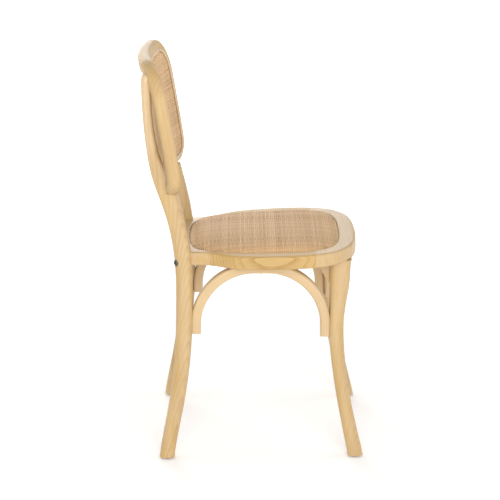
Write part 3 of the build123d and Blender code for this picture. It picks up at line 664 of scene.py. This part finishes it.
warp = weave("seat_weave_lengthwise", seat_lines(True), STRIP_HALF / 1000, STRIP_T / 1000, rattan_y, 11)
weft = weave("seat_weave_crosswise", seat_lines(False), STRIP_HALF / 1000, STRIP_T / 1000, rattan_x, 23)
for piece in (warp, weft):
    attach(piece, "root")
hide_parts("seat_woven_cover")

# --------------------------------------------------------------- back: woven sheet
BACK_HALF_W, BACK_TOP, BACK_BOTTOM, TOP_DROP = 198.0, 877.5, 588.0, 8.0
BACK_R_TOP, BACK_R_BOT, BACK_W, SPLINE_W = 83.0, 50.0, 20.0, 5.0
BACK_PLAN_R, BACK_LEAN, BACK_LEAN_LOW = 640.0, 0.18, 0.10
WEAVE_DEPTH = 2.4 + 0.8


def back_base(z):
    u = z - 650.0
    return (150.6 + 0.5 * BACK_LEAN * (u + math.sqrt(u * u + 35.0 ** 2))
            + 0.5 * BACK_LEAN_LOW * (u - math.sqrt(u * u + 25.0 ** 2)))


def back_sag(x):
    return BACK_PLAN_R - math.sqrt(BACK_PLAN_R ** 2 - x * x)


def back_point(x, z, depth):
    y = back_base(z) + back_sag(194.0) - back_sag(x)
    dyz = back_base(z + 0.5) - back_base(z - 0.5)
    dyx = -(back_sag(x + 0.5) - back_sag(x - 0.5))
    n = Vector((-dyx, 1.0, -dyz)).normalized()
    return (Vector((x, y + SHIFT, z)) + n * depth) / 1000, n


def inside_back(x, z, inset):
    """Is the point within the rounded outline of the back, moved in by inset?"""
    a, zt, zb = BACK_HALF_W - inset, BACK_TOP - inset - TOP_DROP, BACK_BOTTOM + inset
    rt, rb = BACK_R_TOP - inset - TOP_DROP / 2, BACK_R_BOT - inset
    x = abs(x)
    if x > a or z > zt or z < zb:
        return False
    if x > a - rt and z > zt - rt:
        return math.hypot(x - (a - rt), z - (zt - rt)) <= rt
    if x > a - rb and z < zb + rb:
        return math.hypot(x - (a - rb), z - (zb + rb)) <= rb
    return True


B_INSET = BACK_W - SPLINE_W + 1.2
BX = [PITCH * k for k in range(-42, 43)]
BZ = [732.0 + PITCH * k for k in range(-34, 35)]


def back_lines(upright):
    lines = []
    fixed, free = (BX, BZ) if upright else (BZ, BX)
    for i, c in enumerate(fixed):
        line = []
        for j, q in enumerate(free):
            over = ((i + j) % 2 == 0) == upright
            for t in (q - PITCH * 0.27, q + PITCH * 0.27):
                x, z = (c, t) if upright else (t, c)
                if not inside_back(x, z, B_INSET):
                    continue
                p, n = back_point(x, z, WEAVE_DEPTH - (RISE if over else -RISE))
                e, _ = back_point(x, z + 0.5, WEAVE_DEPTH) if upright else back_point(x + 0.5, z, WEAVE_DEPTH)
                b, _ = back_point(x, z - 0.5, WEAVE_DEPTH) if upright else back_point(x - 0.5, z, WEAVE_DEPTH)
                t_dir = (e - b).normalized()
                line.append((p, -n, t_dir.cross(-n).normalized()))
        if len(line) > 5:
            lines.append(line)
    return lines


b_warp = weave("back_weave_upright", back_lines(True), STRIP_HALF / 1000, STRIP_T / 1000,
               rattan("rattan_upright", (1.0, 1.0, 0.035)), 37)
b_weft = weave("back_weave_crosswise", back_lines(False), STRIP_HALF / 1000, STRIP_T / 1000,
               rattan("rattan_back_crosswise", (0.035, 1.0, 1.0), 0.02), 41)
for piece in (b_warp, b_weft):
    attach(piece, "root")
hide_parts("back_woven_panel")

# ---------------------------------------------------------------- floor and light
fg = Graph("pale_floor")
fn = fg.noise(fg.coords(), 3.0, 3.0)
fg.feed(fg.bsdf.inputs["Base Color"], fg.mix(fn, (0.955, 0.955, 0.952), (0.975, 0.975, 0.972)))
fg.feed(fg.bsdf.inputs["Roughness"], fg.math("ADD", fg.math("MULTIPLY", fn, 0.1), 0.8))
far = fg.math("DIVIDE", fg.vec("LENGTH", fg.coords()), 10.0)
fg.bsdf.inputs["Emission Color"].default_value = (1.0, 1.0, 1.0, 1.0)
fg.feed(fg.bsdf.inputs["Emission Strength"], fg.ramp(far, [(0.10, 0.06), (0.40, 0.53)]))
S = 40.0
floor = new_mesh("floor", [(-S, -S, 0), (S, -S, 0), (S, S, 0), (-S, S, 0)], [(0, 1, 2, 3)], fg.mat, False)

world = bpy.data.worlds.new("studio")
bpy.context.scene.world = world
world.use_nodes = True
# soft surround: white round the horizon, dimmer overhead
wn, wl = world.node_tree.nodes, world.node_tree.links
sky = wn.new("ShaderNodeSeparateXYZ")
wl.new(wn.new("ShaderNodeTexCoord").outputs["Generated"], sky.inputs[0])
fade = wn.new("ShaderNodeValToRGB")
fade.color_ramp.elements[0].position, fade.color_ramp.elements[0].color = 0.10, (1.0, 1.0, 1.0, 1.0)
fade.color_ramp.elements[1].position, fade.color_ramp.elements[1].color = 0.36, (0.53, 0.53, 0.53, 1.0)
wl.new(sky.outputs["Z"], fade.inputs[0])
wl.new(fade.outputs["Color"], wn["Background"].inputs["Color"])
wn["Background"].inputs["Strength"].default_value = 1.03


def area(name, loc, aim, size, watts, colour=(1, 1, 1)):
    li = bpy.data.lights.new(name, "AREA")
    li.shape = "SQUARE"
    li.size, li.energy, li.color = size, watts, colour
    ob = bpy.data.objects.new(name, li)
    bpy.context.scene.collection.objects.link(ob)
    ob.location = loc
    ob.rotation_euler = (Vector(aim) - Vector(loc)).to_track_quat("-Z", "Y").to_euler()
    return ob


area("key", (-3.4, -0.3, 1.6), (0, 0, 0.45), 2.4, 86)
area("far_side", (3.3, 0.8, 1.7), (0, 0, 0.45), 2.4, 58)
area("front", (0.5, -3.3, 1.7), (0, 0, 0.45), 2.4, 21)
area("rear", (0.6, 3.3, 1.7), (0, 0, 0.45), 2.4, 20)

# -------------------------------------------------------------------------- camera
theta, psi = 0.27519, 0.00773
F = Vector((math.cos(theta) * math.cos(psi), -math.cos(theta) * math.sin(psi), -math.sin(theta)))
R = Vector((-math.sin(psi), -math.cos(psi), 0.0))
U = R.cross(F)
cam = bpy.data.cameras.new("camera")
cam.lens, cam.sensor_width = 153.51, 36.0
cam.clip_start, cam.clip_end = 0.1, 100.0
cam_ob = bpy.data.objects.new("camera", cam)
bpy.context.scene.collection.objects.link(cam_ob)
cam_ob.matrix_world = Matrix(((R.x, U.x, -F.x, -4.62919), (R.y, U.y, -F.y, 0.036806),
                              (R.z, U.z, -F.z, 1.72456), (0, 0, 0, 1)))
bpy.context.scene.camera = cam_ob
bpy.context.scene.view_settings.view_transform = "Standard"
